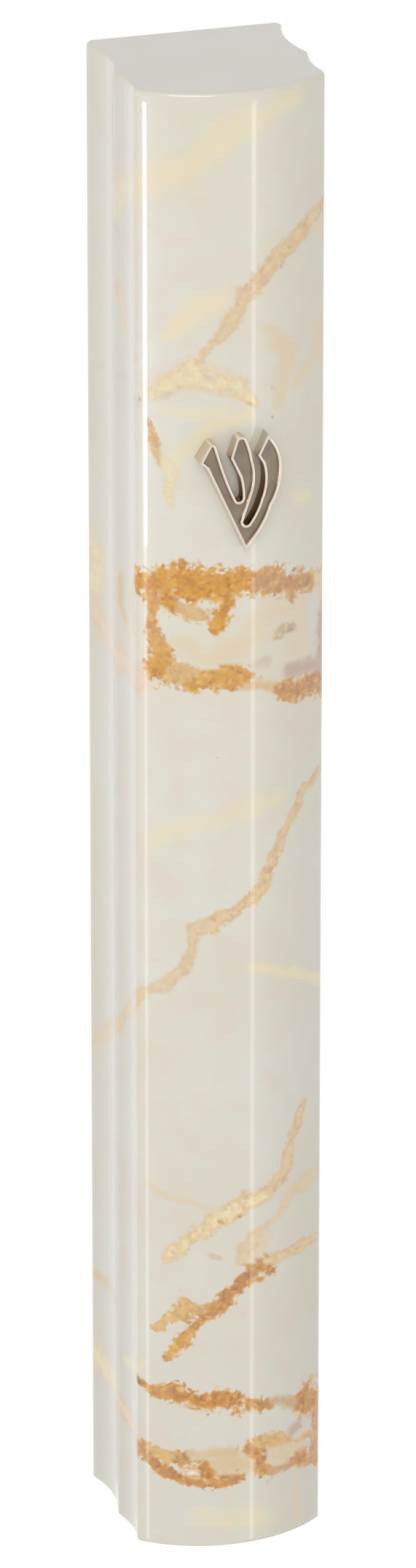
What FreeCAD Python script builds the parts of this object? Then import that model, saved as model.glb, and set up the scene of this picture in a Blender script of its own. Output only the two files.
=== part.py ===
import FreeCAD, Part
import math
import os
import Sketcher

# A wall-hung mezuzah case: a moulded front shell slides down over a back plate that is
# taped or screwed to a doorpost.  A rubber cork closes the open bottom and carries the
# rolled parchment.  The frame's origin is the centre of the back (wall) face; +Z is up,
# the front faces -Y.

# Driving dimensions in millimetres: alias, number, meaning.
DRIVING_SIZES = [
    ("case_height", 180.0, "height of the closed case"),
    ("back_width", 23.0, "width across the back edges"),
    ("back_corner", 0.8, "rounding of the two rear vertical edges"),
    ("nib_width", 22.8, "width across the nibs between the coves"),
    ("nib_depth", 10.9, "from the back face to the nib"),
    ("nib_flat", 0.35, "flat land on each nib"),
    ("rear_cove_rise", 0.82, "hollow of the rear coves"),
    ("front_cove_rise", 0.5, "hollow of the front coves"),
    ("front_width", 22.5, "width across the front corners before rounding"),
    ("side_depth", 18.4, "from the back face to the front corners"),
    ("bow_rise", 4.3, "how far the bowed front stands out from its corners"),
    ("front_corner", 1.1, "rounding of the two front vertical edges"),
    ("crown_round", 0.8, "rounding of the top's outer edge"),
    ("front_wall", 1.6, "thickness of the bowed front wall"),
    ("top_wall", 2.0, "thickness of the closed top"),
    ("chamber_width", 18.4, "width of the parchment chamber"),
    ("lip_gap_width", 18.0, "clear width between the rear lips"),
    ("lip_thickness", 1.2, "thickness of each rear lip"),
    ("groove_width", 20.0, "width across the bottoms of the two grooves"),
    ("groove_height", 2.1, "front-to-back size of each groove"),
    ("slide_gap", 0.15, "clearance between the plate and its groove"),
    ("stop_gap", 0.1, "space left between the plate's end and the closed top"),
    ("plate_foot_gap", 0.4, "how far the plate stops short of the bottom rim"),
    ("screw_spacing", 150.0, "distance between the two screw holes"),
    ("screw_hole", 3.6, "diameter of each screw hole"),
    ("countersink", 1.5, "depth of each countersink"),
    ("tape_width", 14.6, "width of each foam tape"),
    ("tape_length", 46.0, "length of each foam tape"),
    ("tape_thickness", 1.0, "thickness of each foam tape"),
    ("tape_height", 40.0, "height of each tape's centre from the middle"),
    ("tape_corner", 1.5, "rounding of the tape corners"),
    ("tape_gap", 0.3, "space between a tape and the side of its recess"),
    ("liner_thickness", 0.12, "thickness of each release liner"),
    ("cork_recess", 3.0, "how far the cork's face lies inside the bottom rim"),
    ("cork_length", 10.0, "length of the cork's plug"),
    ("cork_gap", 0.45, "space between the cork's core and the walls"),
    ("rib_gap", 0.12, "space between the sealing ribs and the walls"),
    ("rib_height", 0.9, "height of one sealing rib"),
    ("rib_start", 1.6, "from the cork's face to the first rib"),
    ("rib_run", 5.4, "from the first rib to the last rib"),
    ("cork_round", 0.7, "rounding of the cork's inner end"),
    ("tab_width", 9.0, "width of the cork's pull tab"),
    ("tab_thickness", 2.4, "thickness of the cork's pull tab"),
    ("tab_drop", 2.8, "how far the pull tab stands down from the cork"),
    ("scroll_length", 150.0, "height of the rolled parchment"),
    ("scroll_radius", 6.6, "outer radius of the rolled parchment"),
    ("scroll_sheet", 0.35, "thickness of the parchment"),
    ("scroll_pitch", 0.6, "radial distance from one turn to the next"),
    ("scroll_centre", 12.1, "from the back face to the roll's axis"),
    ("rest_gap", 0.05, "space between the roll and the cork it stands on"),
    ("sleeve_thickness", 0.12, "thickness of the clear sleeve"),
    ("sleeve_gap", 0.08, "space between the roll and its sleeve"),
    ("letter_height", 13.9, "height of the raised letter"),
    ("letter_centre", 43.0, "height of the letter's centre above the middle"),
    ("letter_across", -0.45, "sideways place of the letter's centre"),
    ("letter_proud", 1.6, "how far the letter stands out from the bow"),
    ("peg_radius", 0.65, "radius of the letter's two pegs"),
    ("peg_gap", 0.1, "space around each peg in the wall"),
    ("peg_end", 20.2, "from the back face to the ends of the pegs"),
    ("nut_radius", 2.3, "radius of each push nut"),
    ("nut_thickness", 0.45, "thickness of each push nut"),
    ("nut_grip", 0.01, "space between a push nut and its peg"),
    ("nut_slot", 0.35, "width of the slots between the push nut's teeth"),
    ("nut_slot_reach", 1.4, "from the nut's axis to the ends of its slots"),
]

SCROLL_HALF_TURNS = 7
DRAWN_LETTER_HEIGHT = 13.9  # the height at which the letter's corners are given
OVERRUN = 1.0  # how far a cutting sketch runs past the face that it opens

doc = FreeCAD.newDocument("mezuzah_case")


class Size:
    """A number in millimetres together with the expression that gives it from the sheet."""

    def __init__(self, value, text):
        self.value = float(value)
        self.text = text

    def combine(self, other, sign, value):
        return Size(value, "({} {} {})".format(self.text, sign, other.text))

    def __add__(self, other):
        other = as_size(other)
        return self.combine(other, "+", self.value + other.value)

    def __sub__(self, other):
        other = as_size(other)
        return self.combine(other, "-", self.value - other.value)

    def __mul__(self, other):
        other = as_size(other)
        return self.combine(other, "*", self.value * other.value)

    def __truediv__(self, other):
        other = as_size(other)
        return self.combine(other, "/", self.value / other.value)

    def __neg__(self):
        return as_size(0.0) - self


def as_size(number):
    """A plain number as a Size; a Size comes back unchanged."""
    if isinstance(number, Size):
        return number
    return Size(number, "({:.6f})".format(number))


def root(square):
    """The square root of a Size."""
    return Size(math.sqrt(square.value), "sqrt({})".format(square.text))


def make_sheet():
    """Write the driving dimensions to a spreadsheet and give them back by name."""
    sheet = doc.addObject("Spreadsheet::Sheet", "Sizes")
    found = {}
    for row, (alias, number, meaning) in enumerate(DRIVING_SIZES, start=1):
        sheet.set("A{}".format(row), meaning)
        sheet.set("B{}".format(row), str(number))
        sheet.setAlias("B{}".format(row), alias)
        found[alias] = Size(number, "Sizes.{}".format(alias))
    doc.recompute()
    return found


size = make_sheet()


def bind(item, prop, value):
    """Tie one property of a document object to the sheet."""
    item.setExpression(prop, as_size(value).text)


def place(item, x=None, y=None, z=None):
    """Tie the parts of an object's position to the sheet."""
    for letter, value in (("x", x), ("y", y), ("z", z)):
        if value is not None:
            bind(item, "Placement.Base.{}".format(letter), value)


def new_body(name):
    body = doc.addObject("PartDesign::Body", name)
    body.Label = name
    return body


def new_sketch(body, name, role, offset=None):
    """A sketch on one of the body's origin planes, moved along its normal by offset."""
    sketch = body.newObject("Sketcher::SketchObject", name)
    plane = next(p for p in body.Origin.OriginFeatures if p.Role == role)
    sketch.AttachmentSupport = [(plane, "")]
    sketch.MapMode = "FlatFace"
    if offset is not None:
        bind(sketch, "AttachmentOffset.Base.z", offset)
    return sketch


def fix_point(sketch, geometry, end, x, y):
    """Hold one end of an edge at a point given by two Sizes."""
    for kind, value, axis in (("DistanceX", x, -2), ("DistanceY", y, -1)):
        if abs(value.value) < 1e-9:
            sketch.addConstraint(Sketcher.Constraint("PointOnObject", geometry, end, axis))
            continue
        number = sketch.addConstraint(
            Sketcher.Constraint(kind, -1, 1, geometry, end, value.value)
        )
        bind(sketch, "Constraints[{}]".format(number), value)


def arc_radius(start, end, rise):
    """Radius of the arc over a chord that stands out from it by rise."""
    across = end[0] - start[0]
    along = end[1] - start[1]
    chord_square = across * across + along * along
    return (chord_square / 4 + rise * rise) / (rise * 2)


def draw_loop(sketch, corners, rises=None):
    """Draw a closed outline.  Edge i runs from corner i to the next one.  It is straight, or
    an arc where rises[i] says how far it stands out to the left of its direction (a negative
    number to the right).  A sketch's arcs all run counter-clockwise, so one that bulges to
    the left is drawn from its far end."""
    rises = rises or {}
    corners = [(as_size(x), as_size(y)) for x, y in corners]
    count = len(corners)
    ends = []
    for i, start in enumerate(corners):
        end = corners[(i + 1) % count]
        first = FreeCAD.Vector(start[0].value, start[1].value, 0)
        last = FreeCAD.Vector(end[0].value, end[1].value, 0)
        if i not in rises:
            geometry = sketch.addGeometry(Part.LineSegment(first, last))
            ends.append((geometry, 1, 2))
            continue
        rise = as_size(rises[i])
        run = last - first
        left = FreeCAD.Vector(-run.y, run.x, 0).normalize()
        middle = (first + last) * 0.5 + left * rise.value
        radius = arc_radius(start, end, rise)
        if rise.value > 0:
            geometry = sketch.addGeometry(Part.Arc(last, middle, first))
            ends.append((geometry, 2, 1))
        else:
            radius = -radius
            geometry = sketch.addGeometry(Part.Arc(first, middle, last))
            ends.append((geometry, 1, 2))
        number = sketch.addConstraint(Sketcher.Constraint("Radius", geometry, radius.value))
        bind(sketch, "Constraints[{}]".format(number), radius)
    for i, (x, y) in enumerate(corners):
        geometry, start, _ = ends[i]
        before, _, end = ends[i - 1]
        sketch.addConstraint(Sketcher.Constraint("Coincident", before, end, geometry, start))
        fix_point(sketch, geometry, start, x, y)


def draw_circle(sketch, x, y, radius):
    centre = FreeCAD.Vector(as_size(x).value, as_size(y).value, 0)
    geometry = sketch.addGeometry(Part.Circle(centre, FreeCAD.Vector(0, 0, 1), radius.value))
    number = sketch.addConstraint(Sketcher.Constraint("Radius", geometry, radius.value))
    bind(sketch, "Constraints[{}]".format(number), radius)
    fix_point(sketch, geometry, 3, as_size(x), as_size(y))


def draw_rounded_box(sketch, x, y, width, height, radius):
    """A rectangle about (x, y) whose corners are quarter circles."""
    corners = []
    rises = {}
    quarter_rise = radius * (1 - math.sqrt(0.5))
    for across, along in ((1, 1), (1, -1), (-1, -1), (-1, 1)):
        side = as_size(x) + width / 2 * across
        end = as_size(y) + height / 2 * along
        inner_side = side - radius * across
        inner_end = end - radius * along
        rises[len(corners)] = quarter_rise
        if across == along:
            corners += [(inner_side, end), (side, inner_end)]
        else:
            corners += [(side, inner_end), (inner_side, end)]
    draw_loop(sketch, corners, rises)


def pad(body, name, sketch, length, reverse=False):
    feature = body.newObject("PartDesign::Pad", name)
    feature.Profile = sketch
    feature.Reversed = reverse
    bind(feature, "Length", length)
    doc.recompute()
    return feature


def cut(body, name, sketch, length=None, reverse=True, both=False):
    """A pocket that has to take material away; with no length it goes right through."""
    before = body.Shape.Volume
    feature = body.newObject("PartDesign::Pocket", name)
    feature.Profile = sketch
    feature.Reversed = reverse
    if length is None:
        feature.Type = "ThroughAll"
    else:
        bind(feature, "Length", length)
    if both:
        feature.Midplane = True
    doc.recompute()
    if body.Shape.Volume > before - 1e-3:
        raise RuntimeError("{} cut nothing".format(name))
    return feature


def dress(body, kind, name, test, value):
    """Fillet or chamfer every edge of the body whose centre passes the test."""
    base = body.Tip
    edges = []
    for number, edge in enumerate(base.Shape.Edges, start=1):
        if test(edge):
            edges.append("Edge{}".format(number))
    if not edges:
        raise RuntimeError("{} found no edges".format(name))
    feature = body.newObject("PartDesign::{}".format(kind), name)
    feature.Base = (base, edges)
    bind(feature, "Radius" if kind == "Fillet" else "Size", value)
    doc.recompute()
    return feature


def is_upright(edge):
    """A straight edge that runs along Z."""
    first, last = edge.Vertexes[0].Point, edge.Vertexes[-1].Point
    return abs(first.x - last.x) < 1e-6 and abs(first.y - last.y) < 1e-6 and first != last


def upright_near(x, y):
    def test(edge):
        point = edge.Vertexes[0].Point
        return is_upright(edge) and abs(abs(point.x) - x) < 0.05 and abs(point.y - y) < 0.05

    return test


def lies_at_z(z):
    return lambda edge: all(abs(v.Point.z - z) < 1e-4 for v in edge.Vertexes)


# Sizes that several sub-parts share, all worked out from the sheet.
half_height = size["case_height"] / 2
front_half = size["front_width"] / 2
bow_radius = (front_half * front_half + size["bow_rise"] * size["bow_rise"]) / (
    size["bow_rise"] * 2
)
bow_apex = size["side_depth"] + size["bow_rise"]
bow_axis = bow_radius - bow_apex
inner_apex = bow_apex - size["front_wall"]
groove_front = size["lip_thickness"] + size["groove_height"]
chamber_half = size["chamber_width"] / 2
plate_back_step = size["lip_thickness"] + size["slide_gap"]
plate_front = groove_front - size["slide_gap"]
plate_height = size["case_height"] - size["top_wall"] - size["stop_gap"] - size["plate_foot_gap"]
recess_depth = size["tape_thickness"] + size["liner_thickness"]
letter_unit = size["letter_height"] / DRAWN_LETTER_HEIGHT

# The letter's two pegs: across from the middle line, and up from the letter's centre.
PEG_PLACES = [(0.8, 2.2), (0.6, -5.3)]


def chamber_outline(gap, rear):
    """Corners and rises of the chamber's plan, drawn in by gap, from y = -rear forward."""
    side = chamber_half - gap
    radius = bow_radius - size["front_wall"] - gap
    drop = root(radius * radius - side * side)
    shoulder = bow_axis - drop
    corners = [(-side, -rear), (side, -rear), (side, shoulder), (-side, shoulder)]
    return corners, {2: radius - drop}


def make_front_shell():
    """The moulded shell: closed top, bowed front, coved sides, grooves for the back plate."""
    body = new_body("front_shell")
    half_back = size["back_width"] / 2
    half_nib = size["nib_width"] / 2
    corner = size["back_corner"]
    corner_rise = corner * (1 - math.sqrt(0.5))
    nib_rear = -size["nib_depth"]
    nib_front = nib_rear - size["nib_flat"]
    outline = new_sketch(body, "shell_outline", "XY_Plane")
    corners = [
        (corner - half_back, 0),
        (half_back - corner, 0),
        (half_back, -corner),
        (half_nib, nib_rear),
        (half_nib, nib_front),
        (front_half, -size["side_depth"]),
        (-front_half, -size["side_depth"]),
        (-half_nib, nib_front),
        (-half_nib, nib_rear),
        (-half_back, -corner),
    ]
    rises = {
        1: corner_rise,
        2: -size["rear_cove_rise"],
        4: -size["front_cove_rise"],
        5: size["bow_rise"],
        6: -size["front_cove_rise"],
        8: -size["rear_cove_rise"],
        9: corner_rise,
    }
    draw_loop(outline, corners, rises)
    pad(body, "shell_block", outline, size["case_height"])
    front_edges = upright_near(front_half.value, -size["side_depth"].value)
    dress(body, "Fillet", "front_rounds", front_edges, size["front_corner"])
    crown = lies_at_z(size["case_height"].value)
    dress(body, "Fillet", "crown_rounding", crown, size["crown_round"])

    chamber = new_sketch(body, "chamber_plan", "XY_Plane")
    corners, rises = chamber_outline(as_size(0), groove_front)
    draw_loop(chamber, corners, rises)
    inner_height = size["case_height"] - size["top_wall"]
    cut(body, "chamber", chamber, inner_height)

    slot = new_sketch(body, "plate_slot_plan", "XY_Plane")
    lip_half = size["lip_gap_width"] / 2
    groove_half = size["groove_width"] / 2
    lip_front = -size["lip_thickness"]
    slot_corners = [
        (-lip_half, OVERRUN),
        (lip_half, OVERRUN),
        (lip_half, lip_front),
        (groove_half, lip_front),
        (groove_half, -groove_front),
        (-groove_half, -groove_front),
        (-groove_half, lip_front),
        (-lip_half, lip_front),
    ]
    draw_loop(slot, slot_corners)
    cut(body, "plate_slot", slot, inner_height)

    peg_height = half_height + size["letter_centre"]
    seats = new_sketch(body, "nut_seats_plan", "XZ_Plane")
    holes = new_sketch(body, "peg_holes_plan", "XZ_Plane")
    for across, up in PEG_PLACES:
        x = size["letter_across"] + letter_unit * across
        z = peg_height + letter_unit * up
        draw_circle(seats, x, z, size["nut_radius"] + size["peg_gap"])
        draw_circle(holes, x, z, size["peg_radius"] + size["peg_gap"])
    cut(body, "nut_seats", seats, inner_apex)
    cut(body, "peg_holes", holes, bow_apex + OVERRUN)
    place(body, z=-half_height)
    return body


def make_back_plate():
    """The plate on the doorpost: edges that ride in the grooves, tape recesses, screw holes."""
    body = new_body("back_plate")
    tongue_half = size["groove_width"] / 2 - size["slide_gap"]
    land_half = size["lip_gap_width"] / 2 - size["slide_gap"]
    section = new_sketch(body, "plate_section", "XY_Plane")
    corners = [
        (-land_half, 0),
        (land_half, 0),
        (land_half, -plate_back_step),
        (tongue_half, -plate_back_step),
        (tongue_half, -plate_front),
        (-tongue_half, -plate_front),
        (-tongue_half, -plate_back_step),
        (-land_half, -plate_back_step),
    ]
    draw_loop(section, corners)
    pad(body, "plate_strip", section, plate_height)

    middle = half_height - size["plate_foot_gap"]
    recess_width = size["tape_width"] + size["tape_gap"] * 2
    recess_length = size["tape_length"] + size["tape_gap"] * 2
    recess_corner = size["tape_corner"] + size["tape_gap"]
    recesses = new_sketch(body, "tape_recess_plan", "XZ_Plane")
    holes = new_sketch(body, "screw_hole_plan", "XZ_Plane")
    for side in (1, -1):
        recess_z = middle + size["tape_height"] * side
        draw_rounded_box(recesses, 0, recess_z, recess_width, recess_length, recess_corner)
        draw_circle(holes, 0, middle + size["screw_spacing"] / 2 * side, size["screw_hole"] / 2)
    cut(body, "tape_recesses", recesses, recess_depth)
    cut(body, "screw_holes", holes, plate_front + OVERRUN)

    def is_hole_mouth(edge):
        round_edge = isinstance(edge.Curve, Part.Circle)
        at_front = abs(edge.CenterOfMass.y + plate_front.value) < 1e-4
        return round_edge and at_front

    dress(body, "Chamfer", "countersinks", is_hole_mouth, size["countersink"])
    place(body, z=size["plate_foot_gap"] - half_height)
    return body


def make_rounded_sheet(name, z, front, thickness):
    """A flat sheet with round corners, whose front face lies at y = -front."""
    body = new_body(name)
    outline = new_sketch(body, name + "_outline", "XZ_Plane")
    draw_rounded_box(
        outline, 0, 0, size["tape_width"], size["tape_length"], size["tape_corner"]
    )
    pad(body, name + "_sheet", outline, thickness, reverse=True)
    place(body, y=-front, z=z)
    return body


def make_tapes():
    """Two double-sided foam tapes in the plate's recesses, each under its release liner."""
    made = []
    for name, side in (("upper", 1), ("lower", -1)):
        z = size["tape_height"] * side
        made.append(
            make_rounded_sheet(name + "_foam_tape", z, recess_depth, size["tape_thickness"])
        )
        liner = size["liner_thickness"]
        made.append(make_rounded_sheet(name + "_release_liner", z, liner, liner))
    return made


def make_bottom_cork():
    """The rubber plug of the open bottom: core, three sealing ribs and a pull tab."""
    body = new_body("bottom_cork")
    core = new_sketch(body, "cork_core_plan", "XY_Plane")
    draw_loop(core, *chamber_outline(size["cork_gap"], groove_front + size["rib_gap"]))
    pad(body, "cork_core", core, size["cork_length"])
    inner_end = lies_at_z(size["cork_length"].value)
    dress(body, "Fillet", "cork_lead_in", inner_end, size["cork_round"])

    rib = new_sketch(body, "cork_rib_plan", "XY_Plane", size["rib_start"])
    draw_loop(rib, *chamber_outline(size["rib_gap"], groove_front + size["rib_gap"]))
    rib_pad = pad(body, "cork_rib", rib, size["rib_height"])
    ribs = body.newObject("PartDesign::LinearPattern", "cork_ribs")
    ribs.Originals = [rib_pad]
    ribs.Direction = (rib, ["N_Axis"])
    bind(ribs, "Length", size["rib_run"])
    ribs.Occurrences = 3
    body.Tip = ribs
    doc.recompute()

    tab = new_sketch(body, "cork_tab_plan", "XY_Plane")
    draw_rounded_box(
        tab,
        0,
        -size["scroll_centre"],
        size["tab_width"],
        size["tab_thickness"],
        size["tab_thickness"] / 4,
    )
    pad(body, "cork_tab", tab, size["tab_drop"], reverse=True)
    place(body, z=size["cork_recess"] - half_height)
    return body


def make_parchment_scroll():
    """The parchment, rolled up: half circles about two centres, half a pitch apart, make the
    spiral sheet, and each later one is smaller by half the pitch."""
    pitch = size["scroll_pitch"].value
    sheet = size["scroll_sheet"].value

    def spiral(radius):
        edges = []
        x = radius
        side = 1
        for _ in range(SCROLL_HALF_TURNS):
            centre = x - side * radius
            start = FreeCAD.Vector(x, 0, 0)
            top = FreeCAD.Vector(centre, side * radius, 0)
            x = centre - side * radius
            edges.append(Part.Arc(start, top, FreeCAD.Vector(x, 0, 0)).toShape())
            radius -= pitch / 2
            side = -side
        return edges, x

    radius = size["scroll_radius"].value
    outer, outer_end = spiral(radius)
    inner, inner_end = spiral(radius - sheet)
    ends = []
    for a, b in ((radius, radius - sheet), (outer_end, inner_end)):
        line = Part.LineSegment(FreeCAD.Vector(a, 0, 0), FreeCAD.Vector(b, 0, 0))
        ends.append(line.toShape())
    wire = Part.Wire(Part.__sortEdges__(outer + inner + ends))
    length = size["scroll_length"].value
    feature = doc.addObject("Part::Feature", "parchment_scroll")
    feature.Label = "parchment_scroll"
    feature.Shape = Part.Face(wire).extrude(FreeCAD.Vector(0, 0, length))
    place(feature, y=-size["scroll_centre"], z=scroll_foot)
    return feature


# Height of the roll's foot in the frame: it stands on the cork.
scroll_foot = size["cork_recess"] + size["cork_length"] + size["rest_gap"] - half_height


def add_cylinder(name, radius, height):
    item = doc.addObject("Part::Cylinder", name)
    bind(item, "Radius", radius)
    bind(item, "Height", height)
    return item


def make_scroll_sleeve():
    """A clear film tube round the roll, open at both ends."""
    inner_radius = size["scroll_radius"] + size["sleeve_gap"]
    outer_radius = inner_radius + size["sleeve_thickness"]
    outside = add_cylinder("sleeve_outside", outer_radius, size["scroll_length"])
    inside = add_cylinder("sleeve_inside", inner_radius, size["scroll_length"] + OVERRUN * 2)
    place(inside, z=-as_size(OVERRUN))
    sleeve = doc.addObject("Part::Cut", "scroll_sleeve")
    sleeve.Label = "scroll_sleeve"
    sleeve.Base = outside
    sleeve.Tool = inside
    place(sleeve, y=-size["scroll_centre"], z=scroll_foot)
    return sleeve


def make_shin_letter():
    """The raised letter: three arms that meet at a pointed foot, on two pegs."""
    # Corners in tenths of a millimetre at the drawn height, each with the rise of its next edge.
    outline_tenths = [
        ((6, -70), 0),  # foot, then the right arm's outer side
        ((36, -19), -4.5),
        ((46, 36), -2.5),
        ((32, 67), 0),  # right arm's tip and serif
        ((20, 43), 0),
        ((26, 33), 3.5),  # the right gap: down, round its end and up the middle arm
        ((24, -9), 1.5),
        ((6, -41), 4),
        ((-2, -37), 0),
        ((13, -4), -3.5),
        ((14, 38), -1),
        ((6, 65), -4),  # middle arm's tip and serif
        ((-6, 62), 0),
        ((-12, 43), 0),
        ((-1, 19), 1),  # the left gap
        ((2, -7), 3.5),
        ((-6, -7), 1),
        ((-25, 45), 0),
        ((-29, 58), -4),  # left arm's tip and serif
        ((-38, 58), 0),
        ((-48, 40), 0),
        ((-40, 33), 0),  # outer side of the left arm
    ]
    body = new_body("shin_letter")
    outline = new_sketch(body, "letter_outline", "XZ_Plane", bow_apex + size["letter_proud"])
    corners = []
    rises = {}
    for (across, up), rise in outline_tenths:
        if rise:
            rises[len(corners)] = letter_unit * (rise / 10)
        corners.append((letter_unit * (across / 10), letter_unit * (up / 10)))
    draw_loop(outline, corners, rises)
    pad(body, "letter_block", outline, size["letter_proud"] + size["front_wall"], reverse=True)

    bow = new_sketch(body, "bow_circle", "XY_Plane")
    draw_circle(bow, -size["letter_across"], bow_axis, bow_radius)
    cut(body, "bow_seat", bow, size["letter_height"] * 2, reverse=False, both=True)

    pegs = new_sketch(body, "peg_plan", "XZ_Plane", bow_apex + size["letter_proud"] / 2)
    for across, up in PEG_PLACES:
        draw_circle(pegs, letter_unit * across, letter_unit * up, size["peg_radius"])
    peg_length = bow_apex + size["letter_proud"] / 2 - size["peg_end"]
    pad(body, "pegs", pegs, peg_length, reverse=True)
    place(body, x=size["letter_across"], z=size["letter_centre"])
    return body


def make_push_nuts():
    """Two toothed push nuts that hold the letter's pegs from inside, as one group."""
    nuts = []
    facing_back = FreeCAD.Rotation(FreeCAD.Vector(1, 0, 0), -90)
    for number, (across, up) in enumerate(PEG_PLACES, start=1):
        name = "push_nut_{}".format(number)
        disc = add_cylinder(name + "_disc", size["nut_radius"], size["nut_thickness"])
        bore_radius = size["peg_radius"] + size["nut_grip"]
        bore = add_cylinder(name + "_bore", bore_radius, size["nut_thickness"] + OVERRUN * 2)
        place(bore, z=-as_size(OVERRUN))
        tools = [bore]
        for turn in range(3):
            slot = doc.addObject("Part::Box", "{}_slot_{}".format(name, turn + 1))
            bind(slot, "Length", size["nut_slot_reach"] * 2)
            bind(slot, "Width", size["nut_slot"])
            bind(slot, "Height", size["nut_thickness"] + OVERRUN * 2)
            angle = math.radians(60 * turn)
            turned = FreeCAD.Rotation(FreeCAD.Vector(0, 0, 1), 60 * turn)
            slot.Placement = FreeCAD.Placement(FreeCAD.Vector(), turned)
            reach, half_slot = size["nut_slot_reach"], size["nut_slot"] / 2
            x = half_slot * math.sin(angle) - reach * math.cos(angle)
            y = -(reach * math.sin(angle)) - half_slot * math.cos(angle)
            place(slot, x=x, y=y, z=-as_size(OVERRUN))
            tools.append(slot)
        teeth = doc.addObject("Part::MultiFuse", name + "_openings")
        teeth.Shapes = tools
        nut = doc.addObject("Part::Cut", name)
        nut.Base = disc
        nut.Tool = teeth
        nut.Placement = FreeCAD.Placement(FreeCAD.Vector(), facing_back)
        place(
            nut,
            x=size["letter_across"] + letter_unit * across,
            y=-inner_apex,
            z=size["letter_centre"] + letter_unit * up,
        )
        nuts.append(nut)
    group = doc.addObject("Part::Compound", "emblem_push_nuts")
    group.Label = "emblem_push_nuts"
    group.Links = nuts
    return group


def check_and_export(subparts):
    """Refuse a failed object or an unsound shape, then write one STEP file per sub-part."""
    doc.recompute()
    for item in doc.Objects:
        if "Invalid" in item.State or "Error" in item.State:
            raise RuntimeError("{} failed: {}".format(item.Name, item.State))
    for item in subparts:
        shape = item.Shape
        if shape.isNull() or not shape.isValid() or not shape.Solids:
            raise RuntimeError("{} has no sound shape".format(item.Label))
    os.makedirs("parts", exist_ok=True)
    for item in subparts:
        shape = item.Shape
        shape.exportStep("parts/{}.step".format(item.Label))
        box = shape.BoundBox
        print(
            "{:22s} solids {} volume {:9.2f}  x {:7.2f} {:7.2f}  y {:7.2f} {:7.2f}"
            "  z {:7.2f} {:7.2f}".format(
                item.Label, len(shape.Solids), shape.Volume,
                box.XMin, box.XMax, box.YMin, box.YMax, box.ZMin, box.ZMax,
            )
        )


subparts = [make_back_plate()]
subparts += make_tapes()
subparts.append(make_front_shell())
subparts.append(make_shin_letter())
subparts.append(make_push_nuts())
subparts.append(make_bottom_cork())
subparts.append(make_parchment_scroll())
subparts.append(make_scroll_sleeve())
check_and_export(subparts)
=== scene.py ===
import math

import bmesh
import bpy
import numpy as np
from mathutils import Matrix, Vector, noise


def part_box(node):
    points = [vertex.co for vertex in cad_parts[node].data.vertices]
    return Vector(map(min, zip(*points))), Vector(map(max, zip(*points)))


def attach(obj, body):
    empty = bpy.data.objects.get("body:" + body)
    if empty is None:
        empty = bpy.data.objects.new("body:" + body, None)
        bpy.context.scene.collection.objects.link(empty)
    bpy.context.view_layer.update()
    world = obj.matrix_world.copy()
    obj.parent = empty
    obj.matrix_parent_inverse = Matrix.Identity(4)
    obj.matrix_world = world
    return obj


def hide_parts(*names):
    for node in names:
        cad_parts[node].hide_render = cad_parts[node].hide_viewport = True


# The looks of a wall-hung mezuzah case: a glossy moulded shell under a marble-print film, with
# a polished metal letter on its bowed front, over a white back plate, a rubber cork and the
# rolled parchment.  Lengths are in millimetres, turned to metres as each piece is made.

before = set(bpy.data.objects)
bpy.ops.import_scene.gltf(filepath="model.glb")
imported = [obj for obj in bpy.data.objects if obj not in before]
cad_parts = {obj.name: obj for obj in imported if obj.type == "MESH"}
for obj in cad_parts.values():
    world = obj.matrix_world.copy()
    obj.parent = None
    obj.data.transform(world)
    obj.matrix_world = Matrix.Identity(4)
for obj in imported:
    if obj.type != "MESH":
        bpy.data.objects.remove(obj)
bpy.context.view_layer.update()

MM = 0.001
TURN = 2 * math.pi
UP = (0, 0, 1)


def box_mm(node):
    """Lowest and highest corners of a CAD node, in millimetres."""
    low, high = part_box(node)
    return low / MM, high / MM


shell_low, shell_high = box_mm("front_shell")
letter_low = box_mm("shin_letter")[0]
scroll_low, scroll_high = box_mm("parchment_scroll")
sleeve_low, sleeve_high = box_mm("scroll_sleeve")

# ---------------------------------------------------------------- colours and shader nodes


def linear(hex_colour):
    """An sRGB hex colour as linear red, green, blue and alpha."""
    channels = [int(hex_colour[i : i + 2], 16) / 255 for i in (1, 3, 5)]
    return [c / 12.92 if c <= 0.04045 else ((c + 0.055) / 1.055) ** 2.4 for c in channels] + [1.0]


def per_mm(size):
    """The scale of a pattern on Object coordinates whose features are size millimetres."""
    return 1 / (size * MM)


def new_material(name, constants):
    """A material with one Principled shader, whose sockets get these constants."""
    material = bpy.data.materials.new(name)
    material.use_nodes = True
    shader = material.node_tree.nodes["Principled BSDF"]
    for socket, value in constants.items():
        shader.inputs[socket].default_value = value
    return material, shader


def add(material, kind, inputs=None, **settings):
    """Adds a node with its settings; each input is a value or the output that feeds it."""
    made = material.node_tree.nodes.new("ShaderNode" + kind)
    for name, value in settings.items():
        setattr(made, name, value)
    for name, value in (inputs or {}).items():
        if isinstance(value, bpy.types.NodeSocket):
            material.node_tree.links.new(value, made.inputs[name])
        else:
            made.inputs[name].default_value = value
    return made


def feed(material, source, target):
    material.node_tree.links.new(source, target)


def object_place(material):
    """Object coordinates, which stay with the piece as it moves."""
    return add(material, "TexCoord").outputs["Object"]


def ramp(material, value, from_min, from_max, to_min=0.0, to_max=1.0, smooth=False):
    """Maps a value's range to another; any limit may be a number or an output."""
    inputs = {"Value": value, "From Min": from_min, "From Max": from_max}
    inputs.update({"To Min": to_min, "To Max": to_max})
    kind = "SMOOTHSTEP" if smooth else "LINEAR"
    return add(material, "MapRange", inputs, interpolation_type=kind).outputs[0]


def blend(material, share, first, second, blend_type="MIX"):
    """Mixes two colours, each an output or a hex colour."""
    ends = [linear(end) if isinstance(end, str) else end for end in (first, second)]
    inputs = {0: share, 6: ends[0], 7: ends[1]}
    return add(material, "Mix", inputs, data_type="RGBA", blend_type=blend_type).outputs[2]


def maths(material, operation, *values):
    return add(material, "Math", dict(enumerate(values)), operation=operation).outputs[0]


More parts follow.
